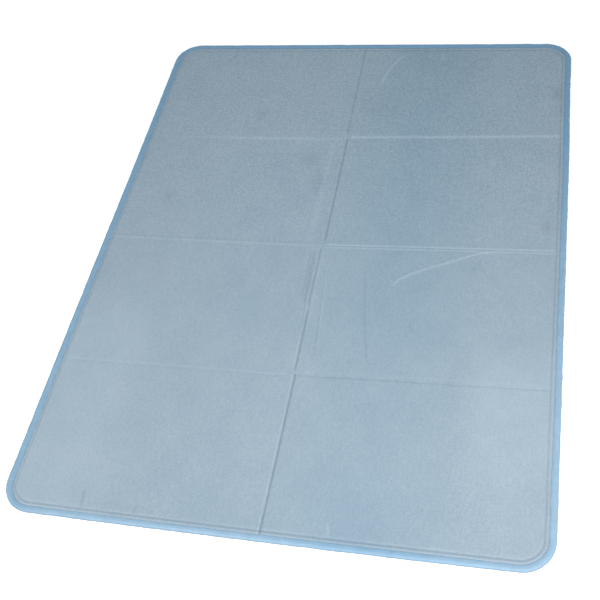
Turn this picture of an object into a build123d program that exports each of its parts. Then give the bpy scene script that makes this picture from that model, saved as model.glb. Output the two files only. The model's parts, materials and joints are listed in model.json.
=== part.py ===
"""A thin cooling mat that folds along its creases into a pack of eight panels.

The mat is two columns of four panels. Each panel is a face cloth and a back cloth with a
foam pad and a sealed gel pack between them. A tape binds the outer edge, held by two rows
of stitches. Millimetres, +Z up, origin at the middle of the underside, near edge at -Y.

The centre crease and the middle cross crease are single folds. The other two cross creases
are strips that go round the mat once it is doubled, so each has a fold at either side.
"""

from build123d import *
import os

os.makedirs("parts", exist_ok=True)

# Outside of the mat
WIDTH = 900.0
LENGTH = 1200.0
THICK = 7.0
CORNER_R = 55.0

# Folds
GAP = 0.3  # clearance between neighbouring panels, and between layers once folded
CREASE_Y = LENGTH / 4  # middle of the near and far crease strips, from the centre
STRIP_W = 2 * (THICK + GAP)  # width of a crease strip, which spans a doubled panel

# Edge tape, a folded C that holds the margins of both cloths
TAPE_W = 10.0
TAPE = 0.8
TAPE_SIDE = 1.6
TAPE_ROUND = 3.0

# Cloths
CLOTH = 0.8
MARGIN_INSET = 3.0  # outer edge of the cloths and the foam, inside the tape
FIELD_INSET = TAPE_W + GAP  # where a cloth steps out from between the tape's legs

# Stitch lines
THREAD_W = 0.8
THREAD_H = 0.4
TAPE_STITCH_INSET = 8.4
QUILT_STITCH_INSET = 17.0

# Gel packs
PACK_H = 3.2
PACK_CREASE_MARGIN = 14.0
PACK_EDGE_MARGIN = 24.0
PACK_CORNER_R = 20.0
PACK_WELD_W = 6.0
PACK_WELD_H = 0.6
PACK_FILM = 0.3
PACK_CLEARANCE = 0.3

BEYOND = 20.0  # how far a cutting box runs past the outside of the mat
FIELD_TOP = THICK - CLOTH  # underside of the face cloth over the panels
PACK_Z = FIELD_TOP - PACK_H

# Where each row of panels and each crease strip starts and ends along the mat
PANEL_ROWS = {
    "1": (-LENGTH / 2 - BEYOND, -CREASE_Y - STRIP_W / 2 - GAP / 2),
    "2": (-CREASE_Y + STRIP_W / 2 + GAP / 2, -GAP / 2),
    "3": (GAP / 2, CREASE_Y - STRIP_W / 2 - GAP / 2),
    "4": (CREASE_Y + STRIP_W / 2 + GAP / 2, LENGTH / 2 + BEYOND),
}
STRIP_ROWS = {
    "12": (-CREASE_Y - (STRIP_W - GAP) / 2, -CREASE_Y + (STRIP_W - GAP) / 2),
    "34": (CREASE_Y - (STRIP_W - GAP) / 2, CREASE_Y + (STRIP_W - GAP) / 2),
}
SIDES = {"r": 1, "l": -1}


def slab(inset, bottom, top):
    """A plate of the mat's rounded outline, drawn in by an inset on every side."""
    outline = RectangleRounded(WIDTH - 2 * inset, LENGTH - 2 * inset, CORNER_R - inset)
    return extrude(Pos(0, 0, bottom) * outline, top - bottom)


def ring(outer, inner, bottom, top):
    """A band that follows the outline, between two insets."""
    return slab(outer, bottom, top) - slab(inner, bottom, top)


def stitch_line(inset, bottom):
    """One run of thread, which lies flush in a cloth or tape."""
    return ring(inset - THREAD_W / 2, inset + THREAD_W / 2, bottom, bottom + THREAD_H)


def tape_stitches():
    """The top and bottom thread that close the tape."""
    return [stitch_line(TAPE_STITCH_INSET, z) for z in (THICK - THREAD_H, 0)]


def quilt_stitches():
    """The top and bottom thread that hold the cloths together beside the tape."""
    return [stitch_line(QUILT_STITCH_INSET, z) for z in (THICK - THREAD_H, 0)]


def edge_tape():
    """The binding all round the mat, with a rounded outer side and a slot for the cloths."""
    whole = slab(0, 0, THICK)
    rims = [whole.faces().sort_by(Axis.Z)[i].edges() for i in (0, -1)]
    whole = fillet(rims[0] + rims[1], TAPE_ROUND)
    slot = slab(TAPE_SIDE, TAPE, THICK - TAPE)
    return whole - slab(TAPE_W, 0, THICK) - slot


def back_cloth():
    """The lower cloth, whose margin steps up into the tape."""
    margin = ring(MARGIN_INSET, FIELD_INSET + CLOTH, TAPE, TAPE + CLOTH)
    return slab(FIELD_INSET, 0, CLOTH) + margin


def face_cloth():
    """The upper cloth, whose margin steps down into the tape."""
    top = THICK - TAPE
    margin = ring(MARGIN_INSET, FIELD_INSET + CLOTH, top - CLOTH, top)
    return slab(FIELD_INSET, THICK - CLOTH, THICK) + margin


def foam():
    """The pad between the cloths, with a tongue that runs out into the tape."""
    tongue = slab(MARGIN_INSET, TAPE + CLOTH, THICK - TAPE - CLOTH)
    return tongue + slab(FIELD_INSET + CLOTH, CLOTH, FIELD_TOP)


def crease_strip():
    """Both cloths pressed together along a crease, in one flexible thickness."""
    return slab(FIELD_INSET, 0, THICK) + slab(MARGIN_INSET, TAPE, THICK - TAPE)


def cell(side, low, high):
    """The box that cuts one panel or strip out of a layer, on one side of the centre."""
    across = WIDTH / 2 + BEYOND - GAP / 2
    middle = Pos(side * (GAP / 2 + across / 2), (low + high) / 2, THICK / 2)
    return middle * Box(across, high - low, THICK + BEYOND)


def pack_block(side, low, high, inset, bottom, top):
    """A rounded block in the plan of a panel's gel pack, drawn in by an inset."""
    outside = LENGTH / 2 - PACK_EDGE_MARGIN
    near = max(low + PACK_CREASE_MARGIN, -outside)
    far = min(high - PACK_CREASE_MARGIN, outside)
    across = WIDTH / 2 - PACK_CREASE_MARGIN - PACK_EDGE_MARGIN
    centre_x = side * (PACK_CREASE_MARGIN + across / 2)
    plan = RectangleRounded(across - 2 * inset, far - near - 2 * inset, PACK_CORNER_R - inset)
    return extrude(Pos(centre_x, (near + far) / 2, bottom) * plan, top - bottom)


def gel_pack(side, low, high):
    """A welded film pouch with a flat seam round it, and the gel inside, as two solids."""
    top = PACK_Z + PACK_H
    seam = pack_block(side, low, high, PACK_CLEARANCE, PACK_Z, PACK_Z + PACK_WELD_H)
    pouch = pack_block(side, low, high, PACK_WELD_W, PACK_Z, top)
    wall = PACK_WELD_W + PACK_FILM
    gel = pack_block(side, low, high, wall, PACK_Z + PACK_FILM, top - PACK_FILM)
    return [seam + pouch - gel, gel]


def save(name, *solids):
    """Write one node from one or more solids."""
    shape = solids[0] if len(solids) == 1 else Compound(children=list(solids))
    export_step(shape, f"parts/{name}.step")


def cut(layer, box):
    """The single solid of a layer that lies inside a box."""
    return (layer & box).solids()[0]


tape_threads = tape_stitches()
quilt_threads = quilt_stitches()
plain_tape = edge_tape()
tape = plain_tape - tape_threads[0] - tape_threads[1]
face = face_cloth() - quilt_threads[0]
back = back_cloth() - quilt_threads[1]
pad = foam()
strip = crease_strip()

for side_name, side in SIDES.items():
    for row, (low, high) in PANEL_ROWS.items():
        panel = side_name + row
        box = cell(side, low, high)
        pocket = pack_block(side, low, high, 0, PACK_Z, FIELD_TOP)
        save(f"face_cloth_{panel}", cut(face, box))
        save(f"back_cloth_{panel}", cut(back, box))
        save(f"foam_pad_{panel}", cut(pad, box) - pocket)
        save(f"gel_pack_{panel}", *gel_pack(side, low, high))
        save(f"edge_binding_{panel}", cut(tape, box))
        threads = [cut(line, box) for line in tape_threads + quilt_threads]
        save(f"edge_stitching_{panel}", *threads)
    for row, (low, high) in STRIP_ROWS.items():
        box = cell(side, low, high)
        save(f"crease_strip_{side_name}{row}", cut(strip, box))
        save(f"crease_binding_{side_name}{row}", cut(plain_tape, box))
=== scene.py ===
"""The looks of a folding cooling mat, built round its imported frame.

The mat is drawn flat first, on a plan with square corners, and the plan is then rounded and
given the slight bow of a soft mat. Every layer uses that one plan and one relief, so cloth,
tape and thread meet without gaps, also where two panels meet.
"""

import json
import logging
import math
from dataclasses import dataclass, field
from enum import Enum
from typing import Callable

import bpy
import numpy as np
from mathutils import Matrix, Vector


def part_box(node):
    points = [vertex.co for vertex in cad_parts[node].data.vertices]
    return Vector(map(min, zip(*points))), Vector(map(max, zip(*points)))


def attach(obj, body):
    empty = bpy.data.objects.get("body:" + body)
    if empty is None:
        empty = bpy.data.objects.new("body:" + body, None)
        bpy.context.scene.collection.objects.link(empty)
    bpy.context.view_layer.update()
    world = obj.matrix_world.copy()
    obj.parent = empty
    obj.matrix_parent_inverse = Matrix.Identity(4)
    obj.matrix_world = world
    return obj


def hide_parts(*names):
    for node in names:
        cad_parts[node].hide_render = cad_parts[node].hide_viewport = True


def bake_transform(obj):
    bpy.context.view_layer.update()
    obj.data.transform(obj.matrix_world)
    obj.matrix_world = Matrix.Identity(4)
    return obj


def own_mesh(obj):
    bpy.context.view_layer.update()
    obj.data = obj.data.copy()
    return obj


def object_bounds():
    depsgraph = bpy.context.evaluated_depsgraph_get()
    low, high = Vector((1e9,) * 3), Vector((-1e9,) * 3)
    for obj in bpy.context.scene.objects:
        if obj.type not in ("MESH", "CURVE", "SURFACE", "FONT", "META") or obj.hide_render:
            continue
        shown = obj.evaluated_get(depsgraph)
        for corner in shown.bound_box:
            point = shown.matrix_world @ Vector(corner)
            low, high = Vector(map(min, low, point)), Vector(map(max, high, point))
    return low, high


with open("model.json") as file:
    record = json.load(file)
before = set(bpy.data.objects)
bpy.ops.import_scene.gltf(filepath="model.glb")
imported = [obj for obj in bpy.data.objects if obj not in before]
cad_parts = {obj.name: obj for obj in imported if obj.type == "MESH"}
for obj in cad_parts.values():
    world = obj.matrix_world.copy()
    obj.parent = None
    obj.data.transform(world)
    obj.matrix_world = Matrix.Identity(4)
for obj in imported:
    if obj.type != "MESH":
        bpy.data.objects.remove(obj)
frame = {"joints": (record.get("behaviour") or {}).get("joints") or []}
CAD_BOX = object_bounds()
LOG = logging.getLogger("cooling_mat")
MM = 0.001
DRAWN_BELOW = 2.5
Array = np.ndarray


def smooth(value: Array) -> Array:
    """Ease from 0 to 1 as a value goes from 0 to 1."""
    value = np.clip(value, 0.0, 1.0)
    return value * value * (3.0 - 2.0 * value)


def hump(distance: Array, width: float) -> Array:
    """A rounded bump, 1 at no distance and nearly 0 two widths away."""
    return np.exp(-((distance / width) ** 2))


def ripples(x: Array, y: Array, length: float, seed: int, count: int = 14) -> Array:
    """Even, seeded waves that run in all directions.

    Args:
        x: Places across, in millimetres.
        y: Places along, in millimetres.
        length: The usual distance from crest to crest, in millimetres.
        seed: The seed of the waves' directions and phases.
        count: How many waves are added up.

    Returns:
        Heights, mostly between -1 and 1.
    """
    draw = np.random.RandomState(seed)
    total = np.zeros(np.broadcast(x, y).shape)
    for _ in range(count):
        turn, phase = draw.uniform(0, 2 * math.pi, 2)
        pace = 2 * math.pi / (length * draw.uniform(0.65, 1.5))
        total += np.sin(pace * (x * math.cos(turn) + y * math.sin(turn)) + phase)
    return total / math.sqrt(2 * count)


def add_object(name: str, data: bpy.types.ID) -> bpy.types.Object:
    """Make an object and put it in the scene."""
    made = bpy.data.objects.new(name, data)
    bpy.context.scene.collection.objects.link(made)
    return made


class Layer(Enum):
    """The layers of a panel, as its nodes are named."""

    FACE = "face_cloth"
    GEL = "gel_pack"
    FOAM = "foam_pad"
    BACK = "back_cloth"
    TAPE = "edge_binding"
    THREAD = "edge_stitching"
    STRIP = "crease_strip"
    STRIP_TAPE = "crease_binding"


@dataclass(frozen=True)
class Outline:
    """The plan of the mat or of a gel pack: a rectangle with rounded corners, in millimetres."""

    half_w: float
    half_l: float
    radius: float
    centre: tuple[float, float] = (0.0, 0.0)

    def inset(self, x: Array, y: Array) -> Array:
        """How far a point of the square-cornered plan lies inside the outer edge."""
        across = self.half_w - np.abs(x - self.centre[0])
        return np.minimum(across, self.half_l - np.abs(y - self.centre[1]))

    def rounded(self, x: Array, y: Array) -> tuple[Array, Array]:
        """Move points of the square-cornered plan onto the rounded one.

        Args:
            x: Places across.
            y: Places along.

        Returns:
            The places on the rounded plan. A line at one inset stays at that inset.
        """
        dx, dy = x - self.centre[0], y - self.centre[1]
        u = (np.abs(dx) - (self.half_w - self.radius)) / self.radius
        v = (np.abs(dy) - (self.half_l - self.radius)) / self.radius
        corner = (u > 0) & (v > 0)
        safe_u, safe_v = np.where(corner, u, 1.0), np.where(corner, v, 1.0)
        turn = np.where(
            safe_v <= safe_u,
            math.pi / 4 * safe_v / safe_u,
            math.pi / 2 - math.pi / 4 * safe_u / safe_v,
        )
        reach = self.radius * np.maximum(safe_u, safe_v)
        out_x = self.half_w - self.radius + reach * np.cos(turn)
        out_y = self.half_l - self.radius + reach * np.sin(turn)
        new_x = np.where(corner, np.sign(dx) * out_x, dx) + self.centre[0]
        new_y = np.where(corner, np.sign(dy) * out_y, dy) + self.centre[1]
        return new_x, new_y


@dataclass(frozen=True)
class Run:
    """Stations along the mat's outer edge: each one's place, inward direction and distance run."""

    x: Array
    y: Array
    in_x: Array
    in_y: Array
    gone: Array

    def at(self, inset: Array) -> tuple[Array, Array]:
        """Places at an inset from each station."""
        return self.x + self.in_x * inset, self.y + self.in_y * inset

    def every(self, pitch: float) -> "Run":
        """Evenly spaced stations on the same path, half a pitch from its ends."""
        count = max(1, round((self.gone[-1] - self.gone[0]) / pitch))
        spots = self.gone[0] + (np.arange(count) + 0.5) * (self.gone[-1] - self.gone[0]) / count
        parts = [np.interp(spots, self.gone, part) for part in (self.x, self.y, self.in_x, self.in_y)]
        return Run(*parts, spots)


@dataclass(frozen=True)
class Fold:
    """A crease or wrinkle along a line, as a profile across it.

    The line runs through points on the plan. The profile is read from the line to its left.
    """

    line: tuple[tuple[float, float], ...]
    ridge: float = 0.0
    width: float = 3.0
    offset: float = 0.0
    lip: float = 0.0
    lip_width: float = 4.0
    lip_reach: float = 28.0
    nap: float = 0.0
    fade: float = 25.0
    tail: float = 0.0

    def across(self, x: Array, y: Array) -> tuple[Array, Array]:
        """Measure each point against the line.

        Args:
            x: Places across.
            y: Places along.

        Returns:
            The distance to the left of the line, and the fade towards the line's ends.
        """
        best = np.full(x.shape, 1e9)
        side = np.zeros(x.shape)
        gone = np.zeros(x.shape)
        points = np.array(self.line)
        runs = np.hypot(*np.diff(points, axis=0).T)
        total, start = runs.sum(), 0.0
        for a, b, run in zip(points[:-1], points[1:], runs):
            way = (b - a) / run
            ahead = np.clip((x - a[0]) * way[0] + (y - a[1]) * way[1], 0, run)
            off_x, off_y = x - a[0] - ahead * way[0], y - a[1] - ahead * way[1]
            far = np.hypot(off_x, off_y)
            near = far < best
            left = off_y * way[0] - off_x * way[1]
            best = np.where(near, far, best)
            side = np.where(near, np.sign(left), side)
            gone = np.where(near, start + ahead, gone)
            start += run
        ends = np.minimum(gone / self.fade, (total - gone) / (self.tail or self.fade))
        return side * best, smooth(ends)

    def relief(self, x: Array, y: Array) -> tuple[Array, Array]:
        """The height and the painted shading that the fold adds.

        Args:
            x: Places across.
            y: Places along.

        Returns:
            The height in millimetres, and the painted shading: painted highlight above 0, painted shade
            below it.
        """
        left, fade = self.across(x, y)
        left = left - self.offset
        shape = self.ridge * hump(left, self.width)
        if self.lip:
            step = 0.5 + 0.5 * np.tanh(left / self.lip_width)
            shape = shape + self.lip * step * hump(np.maximum(left, 0), self.lip_reach)
        return shape * fade, self.nap * hump(left, self.width) * fade


def edge_run(outline: Outline, side: int, low: float, high: float, start: float, step: float) -> Run:
    """Follow the outer edge of one half of the mat between two distances along it.

    Args:
        outline: The mat's outline.
        side: 1 for the right half, -1 for the left.
        low: Where the run starts along the mat. At the near edge it turns in to the centre.
        high: Where the run ends. At the far edge it turns in to the centre.
        start: How far from the centre crease the run along an end edge stops.
        step: The spacing of the stations.

    Returns:
        The stations, from low to high.
    """
    half_w, half_l, radius = outline.half_w, outline.half_l, outline.radius
    parts: list[tuple[Array, Array, Array, Array]] = []

    def straight(x0: float, y0: float, x1: float, y1: float, turn: float) -> None:
        """Add a straight stretch whose inward direction is fixed."""
        share = np.linspace(0, 1, max(2, math.ceil(math.hypot(x1 - x0, y1 - y0) / step) + 1))
        one = np.ones(share.size)
        x, y = x0 + (x1 - x0) * share, y0 + (y1 - y0) * share
        parts.append((x, y, -one * math.cos(turn), -one * math.sin(turn)))

    def corner(end: int, from_turn: float, to_turn: float) -> None:
        """Add a rounded corner."""
        turn = np.linspace(from_turn, to_turn, math.ceil(radius * math.pi / 2 / step) + 1)[1:-1]
        x, y = half_w - radius + radius * np.cos(turn), end * (half_l - radius) + radius * np.sin(turn)
        parts.append((x, y, -np.cos(turn), -np.sin(turn)))

    quarter = math.pi / 2
    side_low, side_high = low, high
    if low <= -half_l:
        straight(start, -half_l, half_w - radius, -half_l, -quarter)
        corner(-1, -quarter, 0.0)
        side_low = radius - half_l
    if high >= half_l:
        side_high = half_l - radius
    straight(half_w, side_low, half_w, side_high, 0.0)
    if high >= half_l:
        corner(1, 0.0, quarter)
        straight(half_w - radius, half_l, start, half_l, quarter)
    x, y, in_x, in_y = (np.concatenate(column) for column in zip(*parts))
    gone = np.concatenate([[0.0], np.cumsum(np.hypot(np.diff(x), np.diff(y)))])
    return Run(side * x, y, side * in_x, in_y, gone)


@dataclass(frozen=True)
class Mat:
    """The mat's driving sizes in millimetres, and the relief of its face."""

    outline: Outline
    folds: tuple[Fold, ...]
    face_level: float = 6.5
    cloth: float = 0.75
    tape_width: float = 10.2
    margin_inset: float = 5.5
    ditch_inset: float = 10.4
    welt_inset: float = 13.2
    quilt_inset: float = 16.6
    tape_stitch_inset: float = 8.5

    def settle(self, x: Array, y: Array) -> tuple[Array, Array]:
        """Bow the straight sides a little, as they lie on a soft mat.

        Args:
            x: Places across on the rounded plan.
            y: Places along on the rounded plan.

        Returns:
            The places where the cloth lies.
        """
        u, v = x / self.outline.half_w, y / self.outline.half_l
        right = smooth((u - 0.3) / 0.7) * (0.4 - 2.3 * smooth((v - 0.35) / 0.45))
        left = smooth((-u - 0.3) / 0.7) * (0.2 + 0.4 * np.sin(4.0 * v))
        near = smooth((-v - 0.5) / 0.5) * (2.4 * u * u - 2.0)
        far = -3.0 * smooth((v - 0.5) / 0.5)
        return x + right + left, y + near + far

    def place(self, x: Array, y: Array) -> tuple[Array, Array]:
        """Where points of the square-cornered plan lie on the mat."""
        return self.settle(*self.outline.rounded(x, y))

    def widen(self, x: Array, y: Array) -> Array:
        """How much wider than planned the tape is sewn; most on the left and far sides."""
        u, v = x / self.outline.half_w, y / self.outline.half_l
        return 1.1 + 0.24 * smooth((v - u + 0.05) / 0.1)

    def widen_seam(self, x: Array, y: Array) -> Array:
        """How much further in than planned the quilting seam is sewn; most on the far side."""
        u, v = x / self.outline.half_w, y / self.outline.half_l
        return 1.08 + 0.24 * smooth((v - u + 0.05) / 0.1) * smooth((v + u + 0.05) / 0.1)

    def tape_near_light(self, x: Array, y: Array) -> Array:
        """How much painted light brightens the tape, from 0 at the far end to 1 at the near end."""
        u, v = x / self.outline.half_w, y / self.outline.half_l
        less_light = 0.4 * smooth((-u - 0.8) / 0.15) + 0.5 * hump(u - 0.4, 0.3) * (v < -0.9)
        return np.clip((0.65 - v) / 1.35, 0, 1) * (1 - less_light)

    def edge_profile(self, taped: Array, inset: Array) -> Array:
        """The face's height against its level, from the tape's slot to the open field.

        Args:
            taped: How far in each point lies, measured in widths of tape as sewn.
            inset: The same, measured by the quilting seam.

        Returns:
            The height above or below the face's level.
        """
        under_tape = -1.5 * (1 - smooth((taped - 8.0) / 3.6))
        ditch = -0.25 * hump(taped - self.ditch_inset, 1.1)
        welt = 0.2 * hump(inset - self.welt_inset, 1.5)
        groove = -0.5 * hump(inset - self.quilt_inset, 1.3)
        step = -0.25 * (1 - smooth((inset - 15.5) / 5.0))
        swell = 0.12 * hump(inset - 24.0, 6.0)
        return under_tape + ditch + welt + groove + step + swell

    def face(self, x: Array, y: Array) -> tuple[Array, Array]:
        """The face cloth's upper side.

        Args:
            x: Places across on the square-cornered plan.
            y: Places along on the square-cornered plan.

        Returns:
            The height above the floor, and the painted shading.
        """
        taped = self.outline.inset(x, y) / self.widen(x, y)
        inset = self.outline.inset(x, y) / self.widen_seam(x, y)
        inner = smooth((inset - 16) / 20)
        height = self.face_level + self.edge_profile(taped, inset)
        height = height + inner * 0.10 * ripples(x, y, 150, 3)
        height = height + inner * 0.045 * ripples(x, y, 46, 5)
        pucker = 0.10 * ripples(x, y, 17, 8) * hump(inset - self.quilt_inset, 7.0)
        height = height + pucker
        # painted shade along the quilting groove and the ditch by the tape; the folds add painted highlight
        # and shade along the creases
        nap = -0.3 * hump(inset - self.quilt_inset, 1.2) - 0.1 * hump(taped - self.ditch_inset, 1.2)
        nap = nap + self.near_corner_light(x, y)
        for fold in self.folds:
            rise, shade = fold.relief(x, y)
            height = height + rise * smooth((inset - 6) / 8)
            nap = nap + shade * smooth((inset - 8) / 6)
        return np.clip(height, 3.4, 7.08), nap

    def cast(self, x: Array, y: Array) -> Array:
        """How much deeper the face cloth's colour is: a soft band along the right half."""
        along = 1.0 - 0.4 * smooth((-y - 180) / 80) + 0.3 * smooth((-y - 440) / 80)
        along = along - 0.2 * smooth((y - 380) / 120)
        side = hump(x - 150, 130) + 0.35 * hump(x + 120, 110) * smooth((300 - y) / 100)
        return 0.48 * along * side

    def near_corner_light(self, x: Array, y: Array) -> Array:
        """How much painted light makes the face cloth paler towards its two near corners."""
        left = 0.17 * smooth((-x - 220) / 140) * smooth((-y - 80) / 160)
        right = 0.18 * smooth((x - 270) / 90) * smooth((-y - 180) / 110)
        return left + right * (1 - 0.8 * smooth((-y - 400) / 110))

    def coarse(self, y: Array) -> Array:
        """How much coarser the face cloth's grain is, from the middle to the far end."""
        return 0.9 * smooth(y / self.outline.half_l + 0.4)

    def under_crown_shade(self, y: Array, height: Array) -> Array:
        """How much painted shade darkens the tape below its crown; most along the near edge."""
        near = 1 + 0.9 * smooth((-y / self.outline.half_l - 0.93) / 0.05)
        return np.clip(0.85 * near * np.clip((6.6 - height) / 5.0, 0, 1), 0, 1)

    def back(self, x: Array, y: Array) -> Array:
        """The back cloth's lower side, which lies on the floor and steps up into the tape."""
        inset = self.outline.inset(x, y) / self.widen_seam(x, y)
        step = 0.85 * (1 - smooth((self.outline.inset(x, y) / self.widen(x, y) - 9.6) / 2.2))
        seam = 0.5 * hump(inset - self.quilt_inset, 1.6)
        lift = 0.05 + 0.05 * np.abs(ripples(x, y, 60, 11))
        return step + seam + lift


@dataclass(frozen=True)
class Viewpoint:
    """Where the camera stands, in metres, and how it is turned, in degrees."""

    location: tuple[float, float, float] = (0.3867, -1.132, 1.365)
    heading: float = 22.11
    dip: float = 51.63
    roll: float = -14.23
    lens: float = 56.67

    def make(self) -> None:
        """Add the camera to the scene."""
        data = bpy.data.cameras.new("camera")
        data.lens = self.lens
        data.sensor_width = 36.0
        made = add_object("camera", data)
        turn = Matrix.Rotation(math.radians(self.heading), 3, "Z")
        turn = turn @ Matrix.Rotation(math.radians(90.0 - self.dip), 3, "X")
        turn = turn @ Matrix.Rotation(math.radians(self.roll), 3, "Z")
        made.matrix_world = Matrix.Translation(self.location) @ turn.to_4x4()
        bpy.context.scene.camera = made


def wrinkle(*drawn: tuple[float, float], **shape: float) -> Fold:
    """A fold through points that are drawn as seen from the camera.

    Args:
        drawn: Where the line seems to lie on a plane a little below the cloth.
        shape: The fold's profile.

    Returns:
        The fold, moved towards the camera to where it lies on the cloth.
    """
    eye_x, eye_y, eye_z = (part / MM for part in Viewpoint.location)
    lift = DRAWN_BELOW / eye_z
    line = tuple((round(x - (x - eye_x) * lift, 1), round(y - (y - eye_y) * lift, 1)) for x, y in drawn)
    return Fold(line=line, **shape)


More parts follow.
